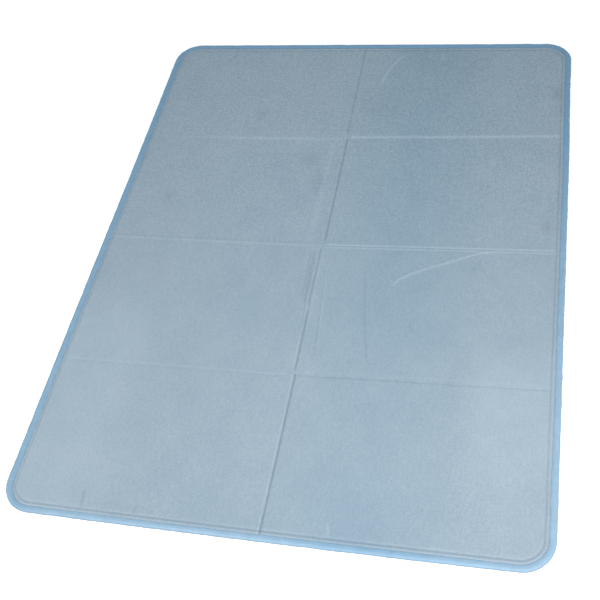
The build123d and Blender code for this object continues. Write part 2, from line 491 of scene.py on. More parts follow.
FOLDS = (
    # centre crease, row by row from the far edge, as it was pressed
    wrinkle((-2.8, 592), (-1.8, 430), (-0.8, 300), ridge=-0.45, width=2.2, nap=-0.33, fade=8),
    wrinkle((-5, 592), (-5, 430), (-4, 300), ridge=0.06, width=2.4, nap=0.06, fade=8),
    wrinkle((2, 296), (2.5, 140), (2.5, 6), ridge=-0.59, width=1.5, nap=-0.59, fade=8),
    wrinkle((-1.5, -4), (-1.5, -90), (-1.5, -150), ridge=-0.44, width=1.6, nap=-0.44, fade=14),
    wrinkle((0, -150), (1, -220), (1, -290), ridge=-0.59, width=1.8, nap=-0.5, fade=10),
    wrinkle((-4.5, -130), (-4, -200), (-3, -290), ridge=0.17, width=1.6, nap=0.24, fade=30),
    wrinkle((3.1, -290), (3.4, -450), (3.1, -592), ridge=-0.65, width=1.8, nap=-0.61, fade=6),
    wrinkle((-0.9, -290), (-0.6, -450), (-0.9, -592), ridge=0.16, width=1.7, nap=0.21, fade=6),
    # the fan of lines beside it in the second row, where the doubled mat slipped
    wrinkle((-18.5, -6), (-18, -70), (-17, -140), ridge=-0.24, width=1.7, nap=-0.22, fade=30),
    wrinkle((-13, -4), (-12, -90), (-10, -150), ridge=-0.32, width=1.9, nap=-0.32, fade=22),
    wrinkle((-9, -4), (-8, -110), (-3, -230), ridge=-0.22, width=1.6, nap=-0.22, fade=40),
    wrinkle((-5, -8), (-5, -110), (-5, -160), ridge=0.14, width=1.7, nap=0.12, fade=20),
    wrinkle((4, -8), (4.5, -120), (6, -220), ridge=0.1, width=1.8, nap=0.11, fade=50),
    wrinkle((13, -22), (20, -120), (30, -275), ridge=-0.17, width=1.7, nap=-0.13, fade=40),
    wrinkle((17.5, -36), (24, -130), (32, -230), ridge=0.16, width=2.0, nap=0.12, fade=40),
    # far cross crease: a soft step, stronger on the right
    wrinkle((-425, 288), (-250, 288), (-60, 289), lip=0.1, nap=0.07, width=3.6, fade=60),
    wrinkle((-330, 288), (-180, 288.5), (-4, 290), lip=0.17, nap=0.18, width=3.8, fade=150, tail=8),
    wrinkle((4, 295.5), (200, 301), (436, 309.5), lip=0.34, nap=0.34, width=3.8, fade=8),
    # middle cross crease: one ridge on the left, two on the right
    wrinkle((-436, -1), (-200, -2), (-4, -1.5), ridge=0.19, width=2.6, nap=0.15, fade=20),
    wrinkle((-436, 5), (-200, 4), (-4, 4.5), ridge=-0.07, width=2.4, nap=-0.07, fade=20),
    wrinkle((4, 2), (200, 7), (436, 12), ridge=0.24, width=2.2, nap=0.24, fade=8),
    wrinkle((4, -5), (200, 0), (436, 5), ridge=0.18, width=2.0, nap=0.24, fade=8),
    wrinkle((4, -1.5), (200, 3.5), (436, 8.5), ridge=-0.16, width=1.6, nap=-0.02, fade=8),
    # near cross crease: a shallow valley, deeper on the right
    wrinkle((-436, -300), (-200, -300), (-4, -300), ridge=-0.09, width=2.0, nap=-0.08, fade=20),
    wrinkle((-436, -295), (-200, -295), (-4, -295), ridge=0.07, width=2.0, nap=0.1, fade=20),
    wrinkle((4, -296), (200, -291.5), (436, -287), ridge=-0.17, width=2.0, nap=-0.18, fade=8),
    wrinkle((4, -287), (200, -282.5), (436, -278), ridge=0.06, width=2.4, nap=0.06, fade=20),
    # single wrinkles
    wrinkle((87, -40), (100, -122), (113, -205), (125, -272), ridge=-0.26, width=1.5, nap=-0.3, fade=50),
    wrinkle((91, -60), (104, -140), (117, -220), ridge=0.12, width=2.2, nap=0.05, fade=60),
    wrinkle((140, -94), (156, -74), (176, -59), (204, -45), (235, -31), (268, -15), (300, -1), (330, 1),
            ridge=0.38, width=2.2, nap=0.38, fade=26),
    wrinkle((300, -8), (292, -34), (284, -62), ridge=-0.3, width=5.0, nap=-0.1, fade=26),
    wrinkle((297, 44), (286, 20), ridge=0.3, width=5.0, nap=0.12, fade=16),
    wrinkle((56, 80), (74, 62), (100, 34), ridge=0.16, width=3.0, nap=0.1, fade=24),
    wrinkle((97, 574), (80, 552), (66, 526), (55, 494), (47, 455), ridge=0.34, width=2.3, nap=0.34, fade=26),
    wrinkle((46, 452), (38, 436), (32, 424), ridge=0.16, width=2.3, nap=0.12, fade=12),
    wrinkle((170, 575), (174, 560), (177, 540), ridge=0.26, width=2.3, nap=0.3, fade=12),
    wrinkle((278, 562), (290, 545), (301, 528), (318, 505), ridge=0.2, width=2.8, nap=0.14, fade=22),
    wrinkle((-298, 578), (-306, 560), (-322, 534), ridge=-0.3, width=2.3, nap=-0.26, fade=14),
    wrinkle((-312, 572), (-322, 556), (-334, 540), ridge=0.15, width=2.3, nap=0.1, fade=14),
    wrinkle((-193, 576), (-192, 565), (-193, 553), ridge=-0.3, width=2.2, nap=-0.25, fade=8),
    wrinkle((385, 560), (392, 480), (402, 420), (408, 340), ridge=0.12, width=5.0, nap=0.08, fade=60),
    wrinkle((402, 80), (407, 140), (411, 200), ridge=0.2, width=5.0, nap=0.1, fade=50),
    wrinkle((-308, -542), (-305, -562), (-304, -582), ridge=-0.3, width=2.0, nap=-0.36, fade=12),
    wrinkle((-207, -560), (-210, -570), (-213, -582), ridge=-0.3, width=2.0, nap=-0.34, fade=8),
    wrinkle((262, -498), (245, -530), (222, -574), ridge=0.16, width=2.2, nap=0.12, fade=26),
    wrinkle((258, -502), (241, -534), (218, -576), ridge=-0.2, width=2.0, nap=-0.16, fade=26),
    wrinkle((104, -552), (108, -566), (111, -582), ridge=0.25, width=2.0, nap=0.25, fade=10),
    wrinkle((330, -470), (318, -492), (310, -510), ridge=0.12, width=2.6, nap=0.08, fade=16),
    # soft patches of painted shade on the knit, and one thin line of painted highlight
    Fold(((60, 590), (190, 545), (290, 560)), nap=-0.1, width=60.0, fade=80),
    Fold(((40, 470), (55, 330)), nap=-0.08, width=45.0, fade=60),
    wrinkle((-72, 268), (-62, 190), nap=-0.3, width=22.0, fade=60),
    wrinkle((-44, 230), (-40, 120), nap=-0.16, width=16.0, fade=60),
    wrinkle((-25, 290), (-27, 20), nap=0.14, width=5.0, fade=40),
    wrinkle((-200, 395), (-194, 335), nap=-0.22, width=14.0, fade=40),
    wrinkle((-352, 135), (-338, 92), nap=-0.24, width=14.0, fade=30),
    wrinkle((-296, 138), (-268, 112), nap=-0.2, width=12.0, fade=30),
    wrinkle((412, 90), (416, 40), nap=-0.28, width=9.0, fade=30),
    wrinkle((425, 470), (424, 400), nap=-0.28, width=8.0, fade=40),
)


class Tree:
    """A material's nodes while they are joined up."""

    def __init__(self, name: str) -> None:
        """Start a material with a plain shader."""
        self.material = bpy.data.materials.new(name)
        self.material.use_nodes = True
        self.nodes = self.material.node_tree.nodes
        self.links = self.material.node_tree.links
        self.shader = self.nodes["Principled BSDF"]
        self.place = self.node("ShaderNodeTexCoord").outputs["Object"]

    def node(self, kind: str, **settings: object) -> bpy.types.Node:
        """Add a node and set its properties."""
        made = self.nodes.new(kind)
        for name, value in settings.items():
            setattr(made, name, value)
        return made

    def feed(self, socket: bpy.types.NodeSocket, value: object) -> None:
        """Link a socket to another, or set its value."""
        if isinstance(value, bpy.types.NodeSocket):
            self.links.new(value, socket)
        else:
            socket.default_value = value

    def math(self, how: str, a: object, b: object = 0.0) -> bpy.types.NodeSocket:
        """Work out a number from two others."""
        made = self.node("ShaderNodeMath", operation=how)
        self.feed(made.inputs[0], a)
        self.feed(made.inputs[1], b)
        return made.outputs[0]

    def stretched(self, scale: tuple[float, float, float]) -> bpy.types.NodeSocket:
        """The place on the piece, scaled along each axis."""
        made = self.node("ShaderNodeMapping")
        self.feed(made.inputs["Vector"], self.place)
        made.inputs["Scale"].default_value = scale
        return made.outputs[0]

    def noise(self, scale: tuple[float, float, float], detail: float = 2.0) -> bpy.types.NodeSocket:
        """Soft noise between 0 and 1, with so many cells to the metre along each axis."""
        made = self.node("ShaderNodeTexNoise")
        self.feed(made.inputs["Vector"], self.stretched(scale))
        made.inputs["Scale"].default_value = 1.0
        made.inputs["Detail"].default_value = detail
        return made.outputs["Fac"]

    def bands(self, pitch: float, axis: str, wobble: float = 0.0) -> bpy.types.NodeSocket:
        """Even ribs across an axis, a pitch apart in metres."""
        made = self.node("ShaderNodeTexWave", wave_type="BANDS", bands_direction=axis)
        self.feed(made.inputs["Vector"], self.place)
        made.inputs["Scale"].default_value = math.pi / (10.0 * pitch)
        made.inputs["Distortion"].default_value = wobble
        made.inputs["Detail"].default_value = 1.0
        return made.outputs["Fac"]

    def attribute(self, name: str) -> bpy.types.NodeSocket:
        """A number that the mesh carries at each point."""
        return self.node("ShaderNodeAttribute", attribute_name=name).outputs["Fac"]

    def span(
        self, value: object, low: float, high: float, to_low: float, to_high: float
    ) -> bpy.types.NodeSocket:
        """Map a value from one span to another, without leaving it."""
        made = self.node("ShaderNodeMapRange")
        self.feed(made.inputs["Value"], value)
        for name, number in zip(("From Min", "From Max", "To Min", "To Max"), (low, high, to_low, to_high)):
            made.inputs[name].default_value = number
        return made.outputs[0]

    def blend(self, share: object, a: object, b: object) -> bpy.types.NodeSocket:
        """Mix two colours."""
        made = self.node("ShaderNodeMix", data_type="RGBA")
        self.feed(made.inputs["Factor"], share)
        self.feed(made.inputs[6], a)
        self.feed(made.inputs[7], b)
        return made.outputs[2]

    def mixed(self, *parts: tuple[bpy.types.NodeSocket, float]) -> bpy.types.NodeSocket:
        """Add up noises by their weights, into a share between 0 and 1."""
        spans = [self.span(noise, 0.3, 0.7, 0.0, weight) for noise, weight in parts]
        total = spans[0]
        for part in spans[1:]:
            total = self.math("ADD", total, part)
        return total

    def surface(self, colour: object, rough: object, levels: dict[str, object] | None = None) -> None:
        """Set the shader's colour, its roughness and any other of its inputs."""
        inputs = {"Base Color": colour, "Roughness": rough, **(levels or {})}
        for name, value in inputs.items():
            self.feed(self.shader.inputs[name], value)

    def bump(self, height: object, deep: float, strength: float = 1.0) -> None:
        """Raise the surface by a height map, on top of any bump that is there."""
        made = self.node("ShaderNodeBump")
        made.inputs["Strength"].default_value = strength
        made.inputs["Distance"].default_value = deep
        self.feed(made.inputs["Height"], height)
        socket = self.shader.inputs["Normal"]
        if socket.links:
            self.links.new(socket.links[0].from_socket, made.inputs["Normal"])
        self.links.new(made.outputs[0], socket)


Colour = tuple[float, float, float, float]


def paint(red: float, green: float, blue: float) -> Colour:
    """A colour from screen values between 0 and 255."""

    def linear(value: float) -> float:
        """One screen value as light."""
        value /= 255.0
        return value / 12.92 if value <= 0.04045 else ((value + 0.055) / 1.055) ** 2.4

    return linear(red), linear(green), linear(blue), 1.0


@dataclass(frozen=True)
class Knit:
    """Fine ribbed cool-touch knit with a slight sheen."""

    name: str = "cool_knit"
    light: Colour = paint(147, 162, 172)
    dark: Colour = paint(127, 145, 158)
    deep_light: Colour = paint(120, 147, 163)
    deep_dark: Colour = paint(100, 132, 151)
    rib: float = 0.0016
    course: float = 0.0011

    def make(self) -> bpy.types.Material:
        """Build the material."""
        t = Tree(self.name)
        mottle = t.noise((17, 13, 17), 3.0)
        streak = t.noise((300, 60, 300), 2.0)
        speck = t.noise((420, 330, 420), 1.0)
        share = t.mixed((mottle, 0.22), (streak, 0.25), (speck, 0.53))
        clump = t.span(t.noise((270, 230, 270), 1.0), 0.3, 0.7, -0.5, 0.5)
        share = t.math("ADD", share, t.math("MULTIPLY", clump, t.attribute("coarse")))
        share = t.span(share, 0.0, 1.0, 0.0, 1.0)
        cloth = t.blend(share, self.dark, self.light)
        cloth = t.blend(t.attribute("cast"), cloth, t.blend(share, self.deep_dark, self.deep_light))
        # painted light and shade: lighter on lit crease sides and near corners, darker in creases, grooves
        # and soft patches
        nap = t.attribute("nap")
        cloth = t.blend(t.span(nap, 0.0, 1.0, 0.0, 0.6), cloth, paint(186, 203, 214))
        cloth = t.blend(t.span(nap, -1.0, 0.0, 0.75, 0.0), cloth, paint(74, 92, 104))
        levels = {"Sheen Weight": 0.12, "Sheen Roughness": 0.4, "Specular IOR Level": 0.3}
        t.surface(cloth, t.span(streak, 0.2, 0.8, 0.55, 0.7), levels)
        ribs = t.bands(self.rib, "X", 0.4)
        courses = t.bands(self.course, "Y", 0.6)
        t.bump(t.math("MULTIPLY", ribs, t.span(courses, 0, 1, 0.6, 1.0)), 0.00018)
        t.bump(streak, 0.0003, 0.6)
        t.bump(mottle, 0.0012, 0.35)
        return t.material


@dataclass(frozen=True)
class Weave:
    """Plain woven backing cloth."""

    name: str = "plain_backing"
    light: Colour = paint(150, 164, 173)
    dark: Colour = paint(132, 148, 158)
    yarn: float = 0.0012

    def make(self) -> bpy.types.Material:
        """Build the material."""
        t = Tree(self.name)
        fleck = t.noise((420, 420, 420), 3.0)
        cloud = t.noise((14, 14, 14), 2.0)
        share = t.mixed((fleck, 0.6), (cloud, 0.4))
        t.surface(t.blend(share, self.dark, self.light), t.span(fleck, 0.2, 0.8, 0.75, 0.92))
        warp, weft = t.bands(self.yarn, "X", 0.3), t.bands(self.yarn, "Y", 0.3)
        t.bump(t.math("MAXIMUM", warp, weft), 0.0003)
        return t.material


@dataclass(frozen=True)
class Tape:
    """Satin-faced binding tape, with fine cross ribs, with painted shade below its crown and painted light
    towards its near end.
    """

    name: str = "satin_tape"
    light: Colour = paint(140, 169, 190)
    dark: Colour = paint(126, 156, 177)
    # the deep colours are the tape in painted shade, used towards its far end
    deep_light: Colour = paint(107, 148, 176)
    deep_dark: Colour = paint(96, 136, 165)
    painted_shade_colour: Colour = paint(84, 108, 128)
    rib: float = 0.9

    def make(self) -> bpy.types.Material:
        """Build the material."""
        t = Tree(self.name)
        fleck = t.noise((520, 520, 520), 2.0)
        cloud = t.noise((60, 60, 60), 2.0)
        share = t.mixed((fleck, 0.5), (cloud, 0.5))
        deep = t.blend(share, self.deep_dark, self.deep_light)
        # painted light: the fade attribute blends the tape from its shaded far colours to its lit near
        # colours
        cloth = t.blend(t.attribute("fade"), deep, t.blend(share, self.dark, self.light))
        # painted shade below the tape's crown, strongest along the near edge
        cloth = t.blend(t.attribute("tape_shade"), cloth, self.painted_shade_colour)
        levels = {"Sheen Weight": 0.15, "Specular IOR Level": 0.35}
        t.surface(cloth, t.span(fleck, 0.2, 0.8, 0.45, 0.62), levels)
        ribs = t.math("SINE", t.math("MULTIPLY", t.attribute("run"), 2 * math.pi / self.rib))
        t.bump(ribs, 0.00005)
        t.bump(fleck, 0.0002, 0.5)
        return t.material


@dataclass(frozen=True)
class Yarn:
    """Twisted sewing thread."""

    name: str = "twisted_thread"
    light: Colour = paint(134, 160, 180)
    dark: Colour = paint(98, 126, 148)
    twist: float = 0.0005

    def make(self) -> bpy.types.Material:
        """Build the material."""
        t = Tree(self.name)
        ply = t.bands(self.twist, "DIAGONAL", 0.5)
        # the grooves between the plies are painted darker, as shade in them
        t.surface(t.blend(ply, self.dark, self.light), t.span(ply, 0, 1, 0.5, 0.7))
        t.bump(ply, 0.0001)
        return t.material


@dataclass(frozen=True)
class Cells:
    """Open-cell foam."""

    name: str = "open_foam"
    light: Colour = paint(238, 239, 232)
    dark: Colour = paint(196, 199, 190)

    def make(self) -> bpy.types.Material:
        """Build the material."""
        t = Tree(self.name)
        cells = t.node("ShaderNodeTexVoronoi")
        t.feed(cells.inputs["Vector"], t.place)
        cells.inputs["Scale"].default_value = 900.0
        hole = cells.outputs["Distance"]
        # the cells' pits are painted darker, as shade in them
        t.surface(t.blend(hole, self.dark, self.light), t.span(hole, 0, 1, 0.8, 0.95))
        t.bump(hole, 0.0004)
        return t.material


@dataclass(frozen=True)
class Gel:
    """Blue gel seen through a soft, slightly cloudy film."""

    name: str = "filmed_gel"
    light: Colour = paint(150, 203, 235)
    dark: Colour = paint(96, 164, 212)

    def make(self) -> bpy.types.Material:
        """Build the material."""
        t = Tree(self.name)
        cloud = t.noise((40, 40, 40), 3.0)
        crinkle = t.noise((260, 260, 260), 3.0)
        levels = {"Subsurface Weight": 0.15, "Coat Weight": 0.3}
        t.surface(t.blend(cloud, self.dark, self.light), t.span(crinkle, 0.3, 0.7, 0.18, 0.34), levels)
        t.bump(crinkle, 0.0005, 0.5)
        return t.material


@dataclass
class Finishes:
    """The finishes of the mat, each made once."""

    made: dict[str, bpy.types.Material] = field(default_factory=dict)

    def get(self, finish: object) -> bpy.types.Material:
        """The material of a finish."""
        if finish.name not in self.made:
            self.made[finish.name] = finish.make()
        return self.made[finish.name]


@dataclass(frozen=True)
class Place:
    """One panel or crease strip: its name, body, side and span, in millimetres."""

    name: str
    body: str
    side: int
    low: float
    high: float


@dataclass
class Mesher:
    """Turns plans and profiles into Blender pieces."""

    mat: Mat

    def levels(self, low: float, high: float, bands: list[tuple[float, float, float]], step: float) -> Array:
        """Mesh lines between two ends, closer in some bands.

        Args:
            low: The first line.
            high: The last line.
            bands: The start, end and spacing of each closer band.
            step: The spacing elsewhere.

        Returns:
            The lines, from low to high.
        """
        cuts = sorted({low, high} | {c for a, b, _ in bands for c in (a, b) if low < c < high})
        lines = [low]
        for a, b in zip(cuts[:-1], cuts[1:]):
            middle = (a + b) / 2
            steps = [s for start, end, s in bands if start <= middle <= end]
            count = max(1, math.ceil((b - a) / min(steps + [step])))
            lines += list(np.linspace(a, b, count + 1)[1:])
        return np.array(lines)

    def piece(self, name: str, points: Array, faces: list, smooth_count: int) -> bpy.types.Object:
        """Make an object from points in millimetres.

        Args:
            name: The piece's name.
            points: The points, one row each.
            faces: The faces, as lists of point numbers.
            smooth_count: How many faces from the first are smooth.

        Returns:
            The new object.
        """
        mesh = bpy.data.meshes.new(name)
        mesh.from_pydata((points * MM).tolist(), [], faces)
        flags = np.arange(len(mesh.polygons)) < smooth_count
        mesh.polygons.foreach_set("use_smooth", flags)
        mesh.update()
        mesh.set_sharp_from_angle(angle=math.radians(70))
        return add_object(name, mesh)

    def carry(self, piece: bpy.types.Object, name: str, values: Array) -> None:
        """Store a number at each point of a piece."""
        made = piece.data.attributes.new(name, "FLOAT", "POINT")
        made.data.foreach_set("value", values.astype(np.float32).ravel())

    def shell(
        self,
        name: str,
        xs: Array,
        ys: Array,
        top: Array,
        bottom: Array,
        place: Callable[[Array, Array], tuple[Array, Array]],
    ) -> bpy.types.Object:
        """A closed sheet between two heights over a grid of the plan.

        Args:
            name: The piece's name.
            xs: The grid's lines across.
            ys: The grid's lines along.
            top: The upper height at each crossing.
            bottom: The lower height at each crossing.
            place: Moves the square-cornered plan to where the cloth lies.

        Returns:
            The new object.
        """
        x, y = np.meshgrid(xs, ys)
        px, py = place(x, y)
        upper = np.stack([px, py, top], -1).reshape(-1, 3)
        lower = np.stack([px, py, bottom], -1).reshape(-1, 3)
        across, along = len(xs), len(ys)
        count = across * along
        number = np.arange(count).reshape(along, across)
        a, b, c, d = number[:-1, :-1], number[:-1, 1:], number[1:, 1:], number[1:, :-1]
        tops = np.stack([a, b, c, d], -1).reshape(-1, 4)
        lowers = tops[:, ::-1] + count
        rim = np.concatenate([number[0], number[1:, -1], number[-1, -2::-1], number[-2:0:-1, 0]])
        after = np.roll(rim, -1)
        walls = np.stack([after, rim, rim + count, after + count], -1)
        faces = np.concatenate([tops, lowers, walls]).tolist()
        made = self.piece(name, np.concatenate([upper, lower]), faces, 2 * len(tops))
        self.carry(made, "cast", np.tile(self.mat.cast(x, y).ravel(), 2))
        self.carry(made, "coarse", np.tile(self.mat.coarse(y).ravel(), 2))
        return made

    def sweep(self, name: str, run: Run, insets: Array, heights: Array) -> bpy.types.Object:
        """Carry a closed profile along the outer edge.

        Args:
            name: The piece's name.
            run: The stations.
            insets: Each station's profile, as insets from the outer edge.
            heights: Each station's profile, as heights.

        Returns:
            The new object, closed at both ends.
        """
        stations, count = insets.shape
        px, py = self.mat.settle(
            run.x[:, None] + run.in_x[:, None] * insets, run.y[:, None] + run.in_y[:, None] * insets
        )
        points = np.stack([px, py, heights], -1).reshape(-1, 3)
        number = np.arange(stations * count).reshape(stations, count)
        a, b = number[:-1], number[1:]
        skin = np.stack([a, np.roll(a, -1, 1), np.roll(b, -1, 1), b], -1).reshape(-1, 4)
        flip = run.x.mean() < 0
        faces = skin.tolist() + [number[0, ::-1].tolist(), number[-1].tolist()]
        if not flip:
            faces = [face[::-1] for face in faces]
        made = self.piece(name, points, faces, len(skin))
        self.carry(made, "run", np.repeat(run.gone, count))
        # painted shade below the tape's crown
        self.carry(made, "tape_shade", self.mat.under_crown_shade(run.y[:, None], heights))
        # painted light on the tape towards its near end
        self.carry(made, "fade", np.repeat(self.mat.tape_near_light(run.x, run.y), count))
        return made

    def stitches(
        self, name: str, rows: list[tuple[Run, Array, Array, int]], length: float, thread: float
    ) -> bpy.types.Object:
        """Rows of stitches, each one a short arched bead of thread.

        Args:
            name: The piece's name.
            rows: Each row's stations, insets, heights, and 1 above the mat or -1 under it.
            length: The length of a stitch.
            thread: The thread's radius.

        Returns:
            The new object.
        """
        along = np.array([-1.0, -0.8, -0.35, 0.35, 0.8, 1.0])
        girth = np.array([0.35, 0.85, 1.0, 1.0, 0.85, 0.35])
        dive = np.array([1.0, 0.45, 0.05, 0.05, 0.45, 1.0])
        turn = np.arange(6) * math.pi / 3
        points, faces = [], []
        for run, inset, heights, up in rows:
            x, y = run.at(inset)
            px, py = self.mat.settle(x, y)
            tx, ty = -run.in_y, run.in_x
            ring_x = (along * length / 2)[None, :, None]
            out = (girth * thread)[None, :, None] * np.cos(turn)[None, None, :]
            rise = (girth * thread)[None, :, None] * np.sin(turn)[None, None, :]
            bx = px[:, None, None] + tx[:, None, None] * ring_x + run.in_x[:, None, None] * out
            by = py[:, None, None] + ty[:, None, None] * ring_x + run.in_y[:, None, None] * out
            bz = heights[:, None, None] + rise - up * (dive * thread * 1.3)[None, :, None]
            base = sum(len(p) for p in points)
            points.append(np.stack(np.broadcast_arrays(bx, by, bz), -1).reshape(-1, 3))
            number = base + np.arange(len(px) * 36).reshape(len(px), 6, 6)
            a, b = number[:, :-1], number[:, 1:]
            skin = np.stack([a, b, np.roll(b, -1, 2), np.roll(a, -1, 2)], -1).reshape(-1, 4)
            ends = np.concatenate([number[:, 0], number[:, -1, ::-1]])
            faces += skin.tolist() + ends.tolist()
        return self.piece(name, np.concatenate(points), faces, len(faces))


@dataclass(frozen=True)
class Hinge:
    """A fold line across the mat: where it is, how high its pivot is, and the rows beside it."""

    line: float
    pivot: float
    near: str
    far: str

    @property
    def opens_up(self) -> bool:
        """Whether the mat folds face to face here, which leaves its back outside."""
        return self.pivot > 0


@dataclass
class CoolingMat:
    """The whole mat: its panels, crease strips, tape, thread and filling."""

    mat: Mat
    places: list[Place]
    hinges: list[Hinge]
    finishes: Finishes = field(default_factory=Finishes)
    reach: float = 6.0
    edge_step: float = 1.6
    tape_seed: int = 40
    stitch_pitch: float = 4.4
    stitch_share: float = 0.72
    thread_radius: float = 0.3
    pack_corner: float = 20.0
    pack_seam: float = 6.0
    pack_floor: float = 2.95
    wrap_wall: float = 0.25
    back_roll_radii: tuple[float, float] = (6.62, 6.95)
    face_roll_radii: tuple[float, float] = (5.92, 6.25)
    back_roll_turn: float = 76.0
    face_roll_turn: float = 87.0
    dome_drop: float = 0.65
    squashed: float = 0.03
    band_near_inset: float = 10.6
    band_far_inset: float = 13.2

    def __post_init__(self) -> None:
        """Set up the mesh maker."""
        self.mesher = Mesher(self.mat)

    def grid(self, spot: Place, start: float, step: float = 2.4) -> tuple[Array, Array]:
        """The mesh lines of a panel or strip.

        Args:
            spot: The panel or strip.
            start: The inset where the layer's outer edge lies.
            step: The spacing in the open field.

        Returns:
            The lines across and the lines along.
        """
        half_w, half_l = self.mat.outline.half_w, self.mat.outline.half_l
        wide = [(0.0, 8.0, 0.9), (8.0, 36.0, 1.7), (half_w - 28.0, half_w, 1.1)]
        xs = self.mesher.levels(0.0, half_w - start, wide, step)
        bands = [(-half_l, 22.0 - half_l, 1.1), (half_l - 28.0, half_l, 1.1)]
        bands += [(-309.0, -284.0, 1.4), (-14.0, 10.0, 1.4), (278.0, 309.0, 1.4)]
        low, high = max(spot.low, start - half_l), min(spot.high, half_l - start)
        ys = self.mesher.levels(low, high, bands, step)
        return (xs if spot.side > 0 else -xs[::-1]), ys

    def dress(
        self, piece: bpy.types.Object, spot: Place, layer: Layer | None, finish: object
    ) -> None:
        """Give a piece its finish and body, and hide its CAD node where it has one."""
        piece.data.materials.append(self.finishes.get(finish))
        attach(piece, spot.body)
        if layer:
            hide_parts(f"{layer.value}_{spot.name}")
        LOG.info("%s: %d faces", piece.name, len(piece.data.polygons))

    def edge(self, spot: Place) -> Run:
        """The stations along a panel's or strip's outer edge."""
        return edge_run(self.mat.outline, spot.side, spot.low, spot.high, 0.0, self.edge_step)

    def face_cloth(self, spot: Place) -> bpy.types.Object:
        """Build a panel's face cloth."""
        xs, ys = self.grid(spot, self.mat.margin_inset)
        x, y = np.meshgrid(xs, ys)
        top, nap = self.mat.face(x, y)
        made = self.mesher.shell(f"face_{spot.name}", xs, ys, top, top - self.mat.cloth, self.mat.place)
        self.mesher.carry(made, "nap", np.concatenate([nap.ravel(), np.zeros(nap.size)]))
        self.dress(made, spot, Layer.FACE, Knit())
        return made

    def back_cloth(self, spot: Place) -> bpy.types.Object:
        """Build a panel's back cloth."""
        xs, ys = self.grid(spot, self.mat.margin_inset, 7.0)
        x, y = np.meshgrid(xs, ys)
        under = self.mat.back(x, y)
        made = self.mesher.shell(f"back_{spot.name}", xs, ys, under + self.mat.cloth, under, self.mat.place)
        self.dress(made, spot, Layer.BACK, Weave())
        return made

    def foam_pad(self, spot: Place) -> bpy.types.Object:
        """Build a panel's foam, with the pocket for its gel pack."""
        inset_start = self.mat.margin_inset + 0.5
        xs, ys = self.grid(spot, inset_start, 7.0)
        xs = xs * (1 - 0.6 / np.abs(xs).max()) + spot.side * 0.6
        ys = np.clip(ys, spot.low + 0.6, spot.high - 0.6)
        x, y = np.meshgrid(xs, ys)
        top = self.mat.face(x, y)[0] - self.mat.cloth - 0.12
        pocket = smooth((self.pack_plan(spot).inset(x, y) + 1.5) / 1.2)
        top = top - pocket * np.maximum(top - self.pack_floor, 0.0)
        bottom = self.mat.back(x, y) + self.mat.cloth + 0.1
        top = np.maximum(top, bottom + 0.4)
        made = self.mesher.shell(f"foam_{spot.name}", xs, ys, top, bottom, self.mat.place)
        self.dress(made, spot, Layer.FOAM, Cells())
        # the walls show between folded panels, where the real foam is hidden by the cloth
        made.data.materials.append(self.finishes.get(Knit()))
        walls = np.arange(len(made.data.polygons)) >= 2 * (len(xs) - 1) * (len(ys) - 1)
        made.data.polygons.foreach_set("material_index", walls.astype(np.int32))
        return made

    def pack_plan(self, spot: Place) -> Outline:
        """The outline of a panel's gel pack."""
        low, high = (Vector(corner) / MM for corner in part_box(f"{Layer.GEL.value}_{spot.name}"))
        middle = (low + high) / 2
        return Outline((high.x - low.x) / 2, (high.y - low.y) / 2, self.pack_corner, (middle.x, middle.y))

    def gel_pack(self, spot: Place) -> bpy.types.Object:
        """Build a panel's gel pack: a pillow of gel inside a flat welded seam."""
        plan = self.pack_plan(spot)
        lines = []
        for centre, half in zip(plan.centre, (plan.half_w, plan.half_l)):
            bands = [(centre - half, centre - half + 24, 1.6), (centre + half - 24, centre + half, 1.6)]
            lines.append(self.mesher.levels(centre - half, centre + half, bands, 8.0))
        x, y = np.meshgrid(*lines)
        inset = plan.inset(x, y)
        roof = self.mat.face(x, y)[0] - self.mat.cloth - 0.2
        crown = smooth((inset - self.pack_seam) / 15.0) ** 0.6
        rumple = 1 + 0.05 * ripples(x, y, 38, 21) + 0.16 * ripples(x, y, 14, 22) * hump(inset - 13, 6)
        seam = self.pack_floor + 0.1 + 0.6
        top = seam + (roof - seam) * np.clip(crown * rumple, 0, 1)
        bottom = np.full(x.shape, self.pack_floor + 0.1)
        made = self.mesher.shell(f"gel_{spot.name}", lines[0], lines[1], top, bottom, plan.rounded)
        self.dress(made, spot, Layer.GEL, Gel())
        return made

